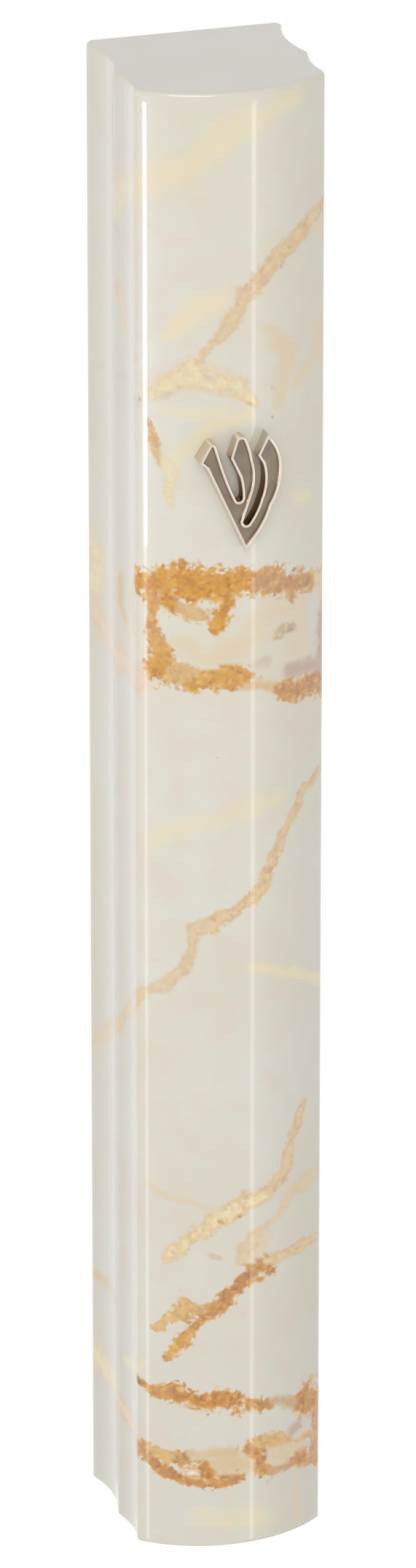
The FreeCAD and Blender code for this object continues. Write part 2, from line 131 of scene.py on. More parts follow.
def pattern(material, kind, place, size, **inputs):
    """A noise or Voronoi pattern whose features are size millimetres."""
    return add(material, kind, {"Vector": place, "Scale": per_mm(size), **inputs})


def raise_grain(material, shader, height, strength, depth):
    """Bumps a surface by a pattern whose full height is depth millimetres."""
    inputs = {"Height": height, "Strength": strength, "Distance": depth * MM}
    feed(material, add(material, "Bump", inputs).outputs[0], shader.inputs["Normal"])


# ---------------------------------------------------------------- drawing with bmesh


def last_vertex(swept):
    return next(v for v in swept["geom_last"] if isinstance(v, bmesh.types.BMVert))


def line_to(bm, start, end, steps=1):
    """Draws a straight line from a vertex in equal steps and returns its last vertex."""
    step = (Vector(end) - start.co) / steps
    swept = bmesh.ops.spin(
        bm, geom=[start], cent=(0, 0, 0), axis=UP, dvec=step, angle=0, steps=steps
    )
    return last_vertex(swept)


def arc_to(bm, start, centre, end, steps):
    """Draws the shorter arc about centre from a vertex to the direction of end."""
    a = start.co - Vector(centre)
    b = Vector(end) - Vector(centre)
    angle = math.atan2(a.x * b.y - a.y * b.x, a.x * b.x + a.y * b.y)
    swept = bmesh.ops.spin(
        bm, geom=[start], cent=centre, axis=UP, dvec=(0, 0, 0), angle=angle, steps=steps
    )
    return last_vertex(swept)


def arc_centre(start, end, rise):
    """Centre of the arc that stands out from its chord by rise, to the left if positive."""
    start = Vector(start)
    chord = Vector(end) - start
    left = Vector((-chord.y, chord.x, 0)).normalized()
    height = abs(rise)
    radius = (chord.length_squared / 4 + height**2) / (2 * height)
    return start + chord / 2 + left * math.copysign(1, rise) * (height - radius)


def round_edges(bm, edges, width, segments):
    return bmesh.ops.bevel(
        bm,
        geom=edges,
        offset=width,
        offset_type="OFFSET",
        affect="EDGES",
        segments=segments,
        profile=0.5,
        material=-1,
        clamp_overlap=True,
    )


def to_piece(bm, name, body, materials, sharp_degrees=35.0, replaces=()):
    """Turns a bmesh in millimetres into a smooth piece that rides on a body."""
    bmesh.ops.scale(bm, vec=(MM, MM, MM), verts=bm.verts)
    bmesh.ops.recalc_face_normals(bm, faces=bm.faces)
    mesh = bpy.data.meshes.new(name)
    bm.to_mesh(mesh)
    bm.free()
    for material in materials:
        mesh.materials.append(material)
    mesh.shade_smooth()
    mesh.set_sharp_from_angle(angle=math.radians(sharp_degrees))
    piece = bpy.data.objects.new(name, mesh)
    bpy.context.scene.collection.objects.link(piece)
    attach(piece, body)
    if replaces:
        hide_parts(*replaces)
    return piece


def finer_copy(node, name, body, material, edge_round):
    """A copy of a CAD node whose hard edges are rounded as a moulded or stamped piece's are."""
    bm = bmesh.new()
    bm.from_mesh(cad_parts[node].data)
    bmesh.ops.scale(bm, vec=(1 / MM, 1 / MM, 1 / MM), verts=bm.verts)
    bmesh.ops.remove_doubles(bm, verts=bm.verts, dist=1e-3)
    bmesh.ops.dissolve_limit(
        bm,
        angle_limit=math.radians(0.5),
        use_dissolve_boundaries=False,
        verts=bm.verts,
        edges=bm.edges,
        delimit={"NORMAL"},
    )
    hard = [e for e in bm.edges if e.is_manifold and e.calc_face_angle() > math.radians(30)]
    round_edges(bm, hard, edge_round, 2)
    return to_piece(bm, name, body, [material], replaces=[node])


# ---------------------------------------------------------------- the marble-print shell

# The shell's section, seen from above: x to the right of the middle, y from the wall face.
NIB_HALF = 11.4  # half the width across the nibs between the coves
NIB_REAR = -10.9
NIB_FRONT = -11.25
REAR_COVE_RISE = 0.82
FRONT_COVE_RISE = 0.5
CORNER_HALF = 11.25  # half the width across the front corners before rounding
CORNER_Y = -18.4
CORNER_ROUND = 1.1
BACK_ROUND = 0.8
FRONT_WALL = 1.6
CHAMBER_HALF = 9.2
LIP_HALF = 9.0
LIP_Y = -1.2
GROOVE_HALF = 10.0
GROOVE_Y = -3.3
TOP_WALL = 2.0
CROWN_ROUND = 0.8
RIM_ROUND = 0.15
CORNER_MERGE = 0.15  # points of the top closer than this become one
FLAT_INSET = 0.2  # a narrow border keeps the shading of the top and the foot flat
BRIDGE_CUTS = 17  # one point a millimetre along the top of the open back
FOIL_STEP = 0.5  # spacing of the outer skin's rows and columns, fine enough for the veins

bow_y = shell_low.y
bow_rise = CORNER_Y - bow_y
bow_radius = (CORNER_HALF**2 + bow_rise**2) / (2 * bow_rise)
bow_centre = Vector((0, bow_y + bow_radius, 0))
inner_bow_radius = bow_radius - FRONT_WALL
case_foot = shell_low.z
case_top = shell_high.z
ceiling = case_top - TOP_WALL
PEG_PLACES = [(0.8, 2.2), (0.6, -5.3)]  # across and up from the letter's centre
LETTER_CENTRE = Vector((-0.45, 0, 43.0))
NUT_SEAT_RADIUS = 2.4


def meet(centre_a, radius_a, centre_b, radius_b):
    """Where two circles meet, on the right of the way from the first centre to the second."""
    way = centre_b - centre_a
    along = (radius_a**2 - radius_b**2 + way.length_squared) / (2 * way.length)
    aside = math.sqrt(radius_a**2 - along**2)
    ahead = way.normalized()
    return centre_a + ahead * along + Vector((ahead.y, -ahead.x, 0)) * aside


def draw_outer_half(bm):
    """The right half of the outer skin, from the middle of the bow to the edge of the rear lip."""
    nib_front = Vector((NIB_HALF, NIB_FRONT, 0))
    nib_rear = Vector((NIB_HALF, NIB_REAR, 0))
    back = Vector((shell_high.x, -BACK_ROUND, 0))
    corner = Vector((CORNER_HALF, CORNER_Y, 0))
    cove_centre = arc_centre(nib_front, corner, -FRONT_COVE_RISE)
    cove_radius = (corner - cove_centre).length
    round_centre = meet(
        bow_centre, bow_radius - CORNER_ROUND, cove_centre, cove_radius + CORNER_ROUND
    )
    bow_end = bow_centre + (round_centre - bow_centre).normalized() * bow_radius
    cove_start = cove_centre + (round_centre - cove_centre).normalized() * cove_radius
    spot = bm.verts.new((0, bow_y, 0))
    spot = arc_to(bm, spot, bow_centre, bow_end, round(bow_end.x / FOIL_STEP))
    spot = arc_to(bm, spot, round_centre, cove_start, 6)
    spot = arc_to(bm, spot, cove_centre, nib_front, 12)
    spot = line_to(bm, spot, nib_rear)
    spot = arc_to(bm, spot, arc_centre(nib_rear, back, REAR_COVE_RISE), back, 16)
    spot = arc_to(bm, spot, (back.x - BACK_ROUND, -BACK_ROUND, 0), (back.x - BACK_ROUND, 0, 0), 5)
    return line_to(bm, spot, (LIP_HALF, 0, 0))


def draw_inner_half(bm, spot):
    """From the rear lip round its groove and up the chamber's side to the middle of the bow."""
    side_end = bow_centre.y - math.sqrt(inner_bow_radius**2 - CHAMBER_HALF**2)
    spot = line_to(bm, spot, (LIP_HALF, LIP_Y, 0))
    spot = line_to(bm, spot, (GROOVE_HALF, LIP_Y, 0))
    spot = line_to(bm, spot, (GROOVE_HALF, GROOVE_Y, 0))
    spot = line_to(bm, spot, (CHAMBER_HALF, GROOVE_Y, 0))
    spot = line_to(bm, spot, (CHAMBER_HALF, side_end, 0), 12)
    arc_to(bm, spot, bow_centre, (0, side_end - 1, 0), 14)


def is_outside(point):
    """True on the outer skin and on the back face, false inside the chamber and the grooves."""
    from_axis = (Vector((point.x, point.y, 0)) - bow_centre).length
    on_bow = from_axis > bow_radius - FRONT_WALL / 2
    return on_bow or abs(point.x) > GROOVE_HALF + 0.2 or point.y > -0.01


def is_on_bridge(point):
    """True on the line across the open back at the height of the ceiling."""
    return point.y > -0.01 and abs(point.x) < LIP_HALF + 0.01 and point.z > ceiling - 0.01


def girth(point):
    """How far round the film a point lies from the middle of the front, positive to the right."""
    across = min(abs(point.x), CORNER_HALF)
    round_bow = bow_radius * math.asin(across / bow_radius)
    return math.copysign(round_bow + max(0, point.y - CORNER_Y), point.x)


def build_shell_mesh():
    bm = bmesh.new()
    draw_inner_half(bm, draw_outer_half(bm))
    bmesh.ops.mirror(bm, geom=bm.verts[:] + bm.edges[:], axis="X", merge_dist=1e-4)
    bmesh.ops.remove_doubles(bm, verts=bm.verts, dist=1e-4)
    bmesh.ops.translate(bm, vec=(0, 0, case_foot), verts=bm.verts)
    section = bm.edges[:]
    foot = bmesh.ops.contextual_create(bm, geom=section)
    swept = bmesh.ops.extrude_edge_only(bm, edges=section)["geom"]
    top_verts = [v for v in swept if isinstance(v, bmesh.types.BMVert)]
    bmesh.ops.translate(bm, vec=(0, 0, ceiling - case_foot), verts=top_verts)
    top_edges = [e for e in swept if isinstance(e, bmesh.types.BMEdge)]
    top_edges = [e for e in top_edges if all(v.co.z > ceiling - 1 for v in e.verts)]
    uprights = [e for e in bm.edges if abs(e.verts[0].co.z - e.verts[1].co.z) > 1]
    rows = round((ceiling - case_foot) / FOIL_STEP)
    bmesh.ops.subdivide_edges(bm, edges=uprights, cuts=rows - 1, use_grid_fill=True)
    outer = [e for e in top_edges if all(is_outside(v.co) for v in e.verts)]
    inner = [e for e in top_edges if e not in set(outer)]
    ends = [v for e in inner for v in e.verts if v.co.y > -0.01]
    bridge = bmesh.ops.contextual_create(bm, geom=ends)["edges"]
    bmesh.ops.subdivide_edges(bm, edges=bridge, cuts=BRIDGE_CUTS)
    bridge = [e for e in bm.edges if all(is_on_bridge(v.co) for v in e.verts)]
    bmesh.ops.contextual_create(bm, geom=inner + bridge)
    raised = bmesh.ops.extrude_edge_only(bm, edges=outer + bridge)["geom"]
    raised_verts = [v for v in raised if isinstance(v, bmesh.types.BMVert)]
    bmesh.ops.translate(bm, vec=(0, 0, TOP_WALL), verts=raised_verts)
    crown = [e for e in raised if isinstance(e, bmesh.types.BMEdge)]
    crown = [e for e in crown if all(v.co.z > ceiling + 1 for v in e.verts)]
    bmesh.ops.contextual_create(bm, geom=crown)
    bmesh.ops.recalc_face_normals(bm, faces=bm.faces)
    rim = foot["faces"][0].edges[:]
    round_edges(bm, crown, CROWN_ROUND, 6)
    top_verts = [v for v in bm.verts if v.co.z > case_top - 0.001]
    bmesh.ops.remove_doubles(bm, verts=top_verts, dist=CORNER_MERGE)
    round_edges(bm, rim, RIM_ROUND, 2)
    flats = [f for f in bm.faces if len(f.verts) > 50]
    bmesh.ops.inset_individual(bm, faces=flats, thickness=FLAT_INSET, use_even_offset=False)
    return bm


def flatten_nut_seats(bm):
    """Flat spots inside the bow, where the push nuts bear on it."""
    seat_y = bow_y + FRONT_WALL
    for across, up in PEG_PLACES:
        centre = LETTER_CENTRE + Vector((across, seat_y, up))
        for vert in bm.verts:
            aside = Vector((vert.co.x - centre.x, 0, vert.co.z - centre.z)).length
            if aside < NUT_SEAT_RADIUS and seat_y < vert.co.y < seat_y + 1:
                vert.co.y = seat_y


# Inks of the marble print.
AMBER = "#c28914"
HONEY = "#c59c50"
OCHRE = "#b2782a"
UMBER = "#96693f"
TAN = "#ccb083"
SAND = "#d9c898"
ROSE = "#d5b89d"
ASH = "#b5aea1"
CREAM = "#dfd9cc"

# Each vein: its ink, how solid it is, and its route.  A point gives the distance round the
# film from the middle of the front, the height above the case's middle and the half width.
VEINS = [
    # high on the front and the left side
    (SAND, 0.42, [(-20, 75, 1.8), (-12, 79, 1.8), (-8, 80.5, 1.9), (-4, 83, 1.9), (0, 86, 1.6),
                  (7, 88.5, 1.0)]),
    (TAN, 0.75, [(12, 75, 0.5), (9, 73, 1.0), (6.5, 71, 0.9), (3.5, 69, 0.8), (1, 66.5, 0.9)]),
    (TAN, 0.7, [(1, 66.5, 0.9), (-1, 63.5, 0.9), (-3, 61, 0.7), (-4.5, 58.5, 0.4)]),
    (TAN, 0.45, [(12.5, 71, 0.7), (9, 72.5, 0.6)]),
    (SAND, 0.5, [(-2, 65.5, 1.2), (-5, 64.5, 1.2), (-9, 61, 0.7)]),
    (ROSE, 0.6, [(-22, 67, 0.4), (-20, 65.5, 0.7), (-17.5, 63, 0.8), (-15.5, 60.5, 0.7),
                 (-12, 58, 0.3)]),
    (ASH, 0.35, [(-31, 50, 0.3), (-24.5, 52.5, 0.3), (-19, 54.5, 0.3), (-15.5, 54.5, 0.4),
                 (-11.5, 53, 0.3)]),
    (SAND, 0.65, [(-10, 54.5, 0.9), (-5.5, 57.5, 1.4), (-0.5, 55.5, 1.2), (1.5, 53, 0.6)]),
    (ASH, 0.6, [(-8.5, 54.5, 0.4), (-8, 55, 0.5)]),
    (ASH, 0.6, [(-4, 57, 0.4), (-3, 57, 0.6)]),
    (TAN, 0.5, [(4, 61.5, 0.9), (6, 58, 1.3), (4.5, 53, 0.8)]),
    (TAN, 0.45, [(11.5, 62, 1.0), (10.5, 57, 1.0), (7, 54, 0.6)]),
    (SAND, 0.4, [(-8.5, 52.5, 0.8), (-2, 52, 0.8)]),
    # round the letter
    (HONEY, 0.8, [(-10.2, 51, 0.3), (-10, 49, 0.4), (-9.8, 47, 0.5), (-9.5, 46, 0.3)]),
    (SAND, 0.6, [(-9.5, 46.5, 0.6), (-8, 45, 0.8), (-8.5, 43, 0.7), (-8, 41, 0.6)]),
    (SAND, 0.5, [(1, 51.5, 0.6), (-3, 50.5, 0.7), (-6, 48, 0.7), (-8, 47, 0.6)]),
    (SAND, 0.4, [(7, 40.5, 0.8), (9, 40.5, 0.6)]),
    # the large amber loop under the letter
    (AMBER, 1.0, [(-11.6, 31.5, 1.4), (-8.3, 31.8, 1.5), (-5.5, 32.0, 1.5), (-3, 31.9, 1.4),
                  (1.6, 31.5, 1.4)]),
    (AMBER, 1.0, [(-7.2, 32.5, 0.6), (-7.1, 33.7, 0.4)]),
    (AMBER, 1.0, [(-8.8, 30.6, 1.1), (-7.8, 29, 0.8)]),
    (AMBER, 1.0, [(-1.6, 30.4, 1.3), (-1.5, 29, 1.0), (-2.5, 27.5, 0.9), (-3.2, 26, 0.5)]),
    (HONEY, 0.8, [(-6.8, 29, 0.9), (-5, 28.2, 1.0), (-4, 27.6, 0.6)]),
    (AMBER, 0.9, [(-10.4, 30, 0.9), (-10.3, 28, 0.7), (-9.9, 26.2, 1.0), (-9.3, 24, 1.1),
                  (-9, 22.3, 1.6)]),
    (AMBER, 1.0, [(-9, 22.3, 1.6), (-9.4, 20.8, 1.6)]),
    (HONEY, 0.85, [(-7.9, 20.7, 1.3), (-5.4, 20.3, 1.1)]),
    (AMBER, 0.95, [(-5.2, 20, 1.1), (-2.5, 20.1, 1.3), (-0.8, 20.2, 1.3), (0.4, 20, 1.2)]),
    (HONEY, 0.65, [(0.8, 19.2, 0.8), (2.5, 18.9, 0.7), (4.2, 18.3, 0.7)]),
    (OCHRE, 0.9, [(4.8, 18, 0.6), (6.3, 17.2, 1.1), (7.8, 16.8, 1.1)]),
    (OCHRE, 0.9, [(9, 17.3, 1.2), (10.5, 17, 1.5), (12.3, 16.6, 1.6)]),
    (UMBER, 0.5, [(6.5, 19.6, 0.8), (9, 19.4, 1.0), (11.5, 18.8, 1.0)]),
    (OCHRE, 0.85, [(2.2, 31.3, 1.3), (4.5, 31, 1.4), (6.7, 30.6, 1.4), (9, 29.7, 1.2),
                   (10.2, 29.4, 0.8)]),
    (UMBER, 0.9, [(8.4, 29.6, 0.5), (9, 29.4, 0.5)]),
    (OCHRE, 0.8, [(6.6, 29.2, 0.8), (6.5, 27.6, 0.4)]),
    (TAN, 0.7, [(10.4, 29.4, 0.8), (12, 30, 0.8), (12.1, 27, 0.7)]),
    (UMBER, 0.6, [(12.1, 27, 0.5), (11.8, 23.6, 0.9), (11.8, 20.4, 0.9), (12, 18, 0.9)]),
    (ASH, 0.85, [(4.4, 24.2, 0.4), (6.2, 24.9, 0.6), (8, 24.8, 0.8)]),
    (ASH, 0.6, [(2, 21.8, 0.7), (3.5, 21.6, 0.7)]),
    (TAN, 0.45, [(-7, 24.5, 1.0), (-4, 22.5, 1.2), (0, 24, 1.6), (4, 27.5, 1.4), (8, 27, 1.2),
                 (8, 22, 1.4)]),
    (HONEY, 0.55, [(-13.2, 30.5, 0.9), (-14.2, 28, 1.1), (-13.6, 25, 0.7)]),
    (HONEY, 0.55, [(-17.8, 29.5, 0.8), (-18.4, 26.8, 0.9), (-16.6, 24.8, 0.7)]),
    (ROSE, 0.55, [(-15, 24, 0.8), (-14, 22, 0.7), (-13, 20, 0.9)]),
    (SAND, 0.6, [(-30, 30, 1.6), (-27, 28, 2.0), (-28.5, 24.5, 1.5)]),
    (ROSE, 0.6, [(-31, 22, 1.4), (-26, 20.8, 2.0), (-21, 19.6, 1.9), (-16, 19.4, 1.7),
                 (-12, 19.8, 1.4)]),
    # the long vein across the middle
    (TAN, 0.75, [(11.5, 6, 0.5), (9, 4.5, 0.7), (7, 1.5, 0.6), (6, 0, 0.5), (4.5, -2.5, 0.7)]),
    (TAN, 0.8, [(4.5, -2.5, 0.7), (3, -5.5, 0.8), (1.5, -7.5, 0.7), (-0.5, -8.7, 0.7),
                (-3, -10, 0.8)]),
    (TAN, 0.7, [(-3, -10, 0.8), (-5.2, -11, 0.6), (-5.6, -13.5, 0.5), (-6, -15.5, 0.6),
                (-8, -17.5, 0.7)]),
    (TAN, 0.65, [(-8, -17.5, 0.7), (-11, -19.2, 0.6), (-14, -21.5, 0.8), (-19, -26, 0.9),
                 (-26, -30.5, 1.0)]),
    (TAN, 0.55, [(-26, -30.5, 1.0), (-31, -33, 0.8)]),
    (SAND, 0.35, [(-10, -0.5, 1.2), (-6.5, 1.5, 1.2), (-3.5, 2.5, 1.2), (-0.5, 3.5, 1.2),
                  (5, 4.5, 0.9)]),
    (SAND, 0.5, [(1.5, -16, 0.6), (4.5, -17, 0.7), (6.5, -18, 0.7), (11.5, -20, 0.6)]),
    # the low group of veins
    (TAN, 0.75, [(9, -35, 0.5), (7.5, -38.5, 0.7), (6.5, -41, 0.7), (5, -43.5, 0.8),
                 (3, -45, 0.7)]),
    (SAND, 0.75, [(3, -45, 0.8), (0, -46, 1.0), (-2.5, -47.5, 1.0), (-5, -49.5, 0.9),
                  (-8, -52.5, 0.8)]),
    (TAN, 0.6, [(11.5, -44.5, 0.8), (9, -45, 1.1), (6.5, -45.8, 0.9), (5.5, -48, 0.5),
                (4, -49, 0.5)]),
    (TAN, 0.65, [(4, -49, 0.6), (2, -50.3, 0.8), (0.8, -52, 0.9), (0.8, -53.5, 0.8)]),
    (TAN, 0.45, [(-11.5, -43.5, 0.4), (-8, -44.5, 0.4), (-4.5, -46, 0.4), (-2.5, -46.5, 0.4)]),
    (ASH, 0.7, [(-3.2, -52, 0.25), (-2, -52.5, 0.3)]),
    (OCHRE, 0.95, [(3.4, -54.5, 1.2), (1.6, -54.9, 1.2), (0.2, -56.2, 0.8), (-1.3, -57.2, 0.8)]),
    (OCHRE, 0.95, [(-1.3, -57.2, 0.8), (-2.4, -58.6, 1.0), (-4.2, -60.4, 0.5), (-5.6, -61.7, 0.5)]),
    (AMBER, 0.9, [(-5.6, -61.7, 0.5), (-6.6, -63.2, 0.9), (-7.8, -65, 0.8), (-8.6, -65.6, 0.5)]),
    (HONEY, 0.85, [(-4.6, -59.4, 0.7), (-6.4, -58.2, 0.8), (-7.4, -60, 1.0), (-8.6, -61.2, 0.7),
                   (-10.3, -62.3, 0.4)]),
    (TAN, 0.75, [(3.5, -54.2, 0.8), (5.5, -53.3, 0.6), (7.5, -53.2, 0.6), (11.5, -53.2, 0.5)]),
    (TAN, 0.5, [(1.5, -53.5, 0.8), (3.2, -51.8, 0.6), (4, -50.5, 0.5)]),
    (HONEY, 0.55, [(-30, -63, 0.5), (-27, -63, 0.9), (-24, -63, 0.9), (-21.5, -63.5, 0.8),
                   (-20, -65.5, 0.5)]),
    (SAND, 0.6, [(-30, -73.5, 1.4), (-26.5, -74, 1.4), (-23.5, -74.5, 1.1), (-21, -75, 0.8)]),
    (ROSE, 0.7, [(-21, -75, 0.8), (-18.5, -75.3, 1.1), (-16.5, -75.6, 1.0), (-14.3, -76.6, 0.6)]),
    (SAND, 0.5, [(-18, -69, 0.7), (-14.5, -68.5, 0.8), (-11.5, -66.5, 0.5)]),
    # the upper band above the foot
    (UMBER, 1.0, [(-12.6, -68.5, 0.5), (-11.8, -69, 0.45)]),
    (OCHRE, 0.95, [(-11.8, -69.1, 0.4), (-10.3, -69.8, 0.5), (-8.6, -70.1, 0.85),
                   (-7, -70.4, 1.0)]),
    (OCHRE, 1.0, [(-7, -70.5, 1.0), (-5, -71.2, 1.05), (-3.1, -71.3, 1.25), (-0.6, -71.5, 1.2)]),
    (OCHRE, 0.95, [(1.7, -72.2, 1.0), (3.2, -72.5, 1.0), (4.2, -72.6, 0.8)]),
    (OCHRE, 0.65, [(4.2, -72.3, 0.8), (5.8, -72.4, 0.8), (7.4, -73, 0.8)]),
    (OCHRE, 1.0, [(8.2, -73.4, 1.2), (9.6, -73.9, 1.7), (12.3, -74.6, 1.9)]),
    (OCHRE, 0.8, [(11.2, -76, 0.8), (11.3, -78.5, 0.8), (11.4, -81.5, 0.9)]),
    (UMBER, 0.5, [(6.8, -76.8, 0.6), (8, -76.2, 0.6)]),
    (ASH, 0.5, [(8.6, -75.7, 0.5), (9.6, -76.4, 0.4)]),
    # the lower band
    (OCHRE, 0.9, [(-12.6, -77.8, 1.3), (-11.2, -78.3, 1.2)]),
    (HONEY, 0.85, [(-11, -77.9, 0.8), (-9, -77.8, 0.8), (-7.4, -77.8, 0.7)]),
    (OCHRE, 0.95, [(-11, -79, 0.6), (-9.5, -79.6, 0.8), (-8, -80.3, 0.8), (-6.8, -81, 0.6)]),
    (OCHRE, 0.9, [(-7, -78.3, 0.8), (-6.1, -78.6, 0.8)]),
    (HONEY, 0.6, [(-5.8, -78.2, 0.7), (-3, -78.2, 0.7), (-0.8, -78.1, 0.6)]),
    (CREAM, 0.95, [(-6.4, -80.1, 0.4), (-5, -80.2, 0.4)]),
    (OCHRE, 1.0, [(-4, -79.9, 0.9), (-3.5, -80.7, 1.0)]),
    (OCHRE, 0.95, [(-7, -81.1, 0.5), (-4.5, -81.5, 0.6), (-2, -81.6, 0.7), (0.4, -81.2, 0.5)]),
    (HONEY, 0.55, [(-2.4, -79.6, 1.0), (-0.4, -79.8, 1.0), (1.4, -80.2, 0.8)]),
    (OCHRE, 0.95, [(1.2, -77.7, 0.9), (2.4, -78.9, 1.0), (3.1, -80.3, 0.9), (3.3, -81.2, 0.5)]),
    (HONEY, 0.85, [(2.4, -77.6, 0.7), (4.2, -77.4, 0.8), (6, -77.9, 0.7)]),
    (TAN, 0.6, [(4.4, -79.4, 1.2), (6.4, -79.6, 1.2), (8.4, -79, 0.9)]),
    (OCHRE, 0.7, [(3.4, -81.1, 0.5), (5, -81.1, 0.6), (6.6, -81.4, 0.6)]),
    (OCHRE, 0.95, [(7.6, -81.1, 0.8), (9.4, -81.4, 0.9)]),
    (HONEY, 0.8, [(7, -79, 0.5), (9, -78.6, 0.6), (10.6, -78.2, 0.6)]),
    (OCHRE, 0.85, [(9.8, -81.8, 0.7), (12, -81.8, 0.9)]),
    (SAND, 0.35, [(-4, -86, 1.2), (2, -87, 1.5)]),
    (TAN, 0.4, [(8.2, -84, 0.7), (8.6, -88.5, 0.7)]),
    # the right side
    (TAN, 0.65, [(12.2, 75, 0.5), (16, 78, 0.8), (20, 79.5, 0.7), (25, 84, 0.8), (31, 86, 0.6)]),
    (SAND, 0.5, [(14, 60, 1.2), (18, 57, 1.5), (24, 55.5, 1.2), (31, 51, 1.0)]),
    (ROSE, 0.55, [(17, 68, 0.5), (22, 66, 0.8), (26, 63.5, 0.8), (31, 63, 0.5)]),
    (TAN, 0.65, [(12.5, 30, 0.9), (16, 31, 1.2), (20, 33, 1.0), (25, 34, 0.9), (31, 36.5, 0.8)]),
    (HONEY, 0.7, [(14, 28.5, 0.7), (18, 27.5, 1.0), (22, 28.5, 0.7)]),
    (OCHRE, 0.85, [(12.6, 16.6, 1.4), (15, 17.4, 1.1), (18, 16.5, 0.7)]),
    (ROSE, 0.55, [(18, 16.5, 0.9), (24, 14, 1.4), (31, 12, 1.2)]),
    (TAN, 0.7, [(12, 6.2, 0.5), (15, 8.5, 0.7), (19, 9, 0.6), (23, 5, 0.7), (27, 3.5, 0.6),
                (31, 0, 0.5)]),
    (ASH, 0.4, [(14, -8, 0.4), (20, -12, 0.4), (31, -15, 0.3)]),
    (SAND, 0.55, [(12, -20, 0.6), (16, -23, 0.9), (22, -25, 0.8), (31, -31, 0.8)]),
    (TAN, 0.65, [(12, -44.5, 0.8), (16, -42, 0.9), (20, -38, 0.7), (26, -36, 0.7),
                 (31, -31.5, 0.6)]),
    (TAN, 0.65, [(12, -53.2, 0.5), (17, -54, 0.8), (22, -58, 0.8), (31, -61, 0.9)]),
    (OCHRE, 0.95, [(12.6, -74.6, 1.8), (14.5, -74.2, 1.3), (17, -72.5, 0.8)]),
    (HONEY, 0.7, [(17, -72.5, 0.8), (21, -71.5, 0.8), (25, -72.5, 0.6)]),
    (HONEY, 0.6, [(12.6, -81.8, 0.9), (16, -80.5, 0.9), (20, -80.5, 0.8), (31, -83, 0.9)]),
]

# Small dark grains that lie beside the veins: ink, distance round, height.
GRAINS = [
    (UMBER, 0.3, 65.4),
    (UMBER, -11.4, 53.4),
    (OCHRE, -10.2, 50.5),
    (HONEY, 1.0, 53.0),
    (OCHRE, -6.8, 34.2),
    (UMBER, 6.1, 0.5),
    (ASH, 4.2, 51.0),
    (ASH, 4.0, 55.0),
    (UMBER, -0.6, -47.4),
    (UMBER, -2.4, -48.3),
    (ASH, -2.6, 10.4),
]
GRAIN_HALF_WIDTH = 0.28


# Where in the noise field the veins' sideways and upward drift are read, far from each other.
DRIFT_SHIFTS = [Vector((11.3, 4.7, 8.1)), Vector((-6.9, 15.2, -3.4))]


def vein_drift(point, shift):
    """How far a vein strays from its route, in millimetres: a slow sway and a quick one."""
    return 0.7 * noise.noise(point / 5.0 + shift) + 0.3 * noise.noise(point / 1.6 + shift)


def paint_veins(mesh):
    """Writes the veins to the skin: how near the middle of a vein, and its ink and solidity."""
    count = len(mesh.vertices)
    places = np.zeros((count, 2))
    for vert in mesh.vertices:
        point = vert.co / MM
        across, up = (vein_drift(point, shift) for shift in DRIFT_SHIFTS)
        places[vert.index] = (girth(point) + across, point.z + up)
    nearness = np.full(count, -1.0)
    inks = np.zeros((count, 4))
    grains = [
        (ink, 0.9, [(across, up, GRAIN_HALF_WIDTH)] * 2) for ink, across, up in GRAINS
    ]
    for ink, solid, route in VEINS + grains:
        colour = linear(ink)[:3] + [solid]
        for start, end in zip(route, route[1:]):
            start, end = np.array(start, float), np.array(end, float)
            way = end[:2] - start[:2]
            share = (places - start[:2]) @ way / max(way @ way, 1e-9)
            share = np.clip(share, 0, 1)
            away = np.linalg.norm(places - start[:2] - share[:, None] * way, axis=1)
            half_width = start[2] + (end[2] - start[2]) * share
            near = 1 - away / (2 * half_width)
            wins = near > nearness
            nearness[wins] = near[wins]
            inks[wins] = colour
    depth = mesh.attributes.new("vein_nearness", "FLOAT", "POINT")
    depth.data.foreach_set("value", np.maximum(nearness, 0).astype(np.float32))
    tint = mesh.attributes.new("vein_ink", "FLOAT_COLOR", "POINT")
    tint.data.foreach_set("color", inks.astype(np.float32).ravel())


def marble_ground(material, place):
    """The print's ground: broad ivory and cream clouds with smaller rosy and greenish ones,
    darkened by painted shade towards the right edge, round the sides and towards the foot.
    """
    clouds = pattern(material, "TexNoise", place, 14, Detail=3.0, Roughness=0.5)
    ground = blend(material, ramp(material, clouds.outputs[0], 0.35, 0.65), "#c9c6bb", "#c7c0ae")
    tints = pattern(material, "TexNoise", place, 3.2, Detail=2.0, Roughness=0.5)
    tint = add(material, "SeparateColor", {0: tints.outputs[1]})
    rosy = ramp(material, tint.outputs[0], 0.45, 0.65, 0.0, 0.6)
    ground = blend(material, rosy, ground, "#cbbeb1")
    greenish = ramp(material, tint.outputs[1], 0.45, 0.65, 0.0, 0.6)
    ground = blend(material, greenish, ground, "#c6c6b6")

    # Painted shade: the ground is mixed towards a dark brown towards the right edge of the front,
    # round the sides and towards the foot, where the light falls off.
    where = add(material, "SeparateXYZ", {0: place})
    right = ramp(material, where.outputs[0], 1 * MM, 11 * MM, 0.0, 0.14)
    side = ramp(material, where.outputs[1], CORNER_Y * MM, -15 * MM, 0.0, 0.1)
    low = ramp(material, where.outputs[2], 20 * MM, -90 * MM, 0.0, 0.08)
    # The sum of the three ramps is how much painted shade the ground takes.
    stretched = maths(material, "ADD", maths(material, "ADD", right, side), low)
    return blend(material, stretched, ground, "#2a2008")


def vein_edge(material, near, wobble, cell, firm):
    """How far inside a vein a point is, with a ragged edge: a wobble and single grains."""
    swing = maths(material, "MULTIPLY_ADD", wobble, 1.3, -0.65)
    shake = maths(material, "MULTIPLY_ADD", cell, 0.36, -0.18)
    shake = maths(material, "MULTIPLY", shake, firm)
    return maths(material, "ADD", maths(material, "ADD", near, swing), shake)


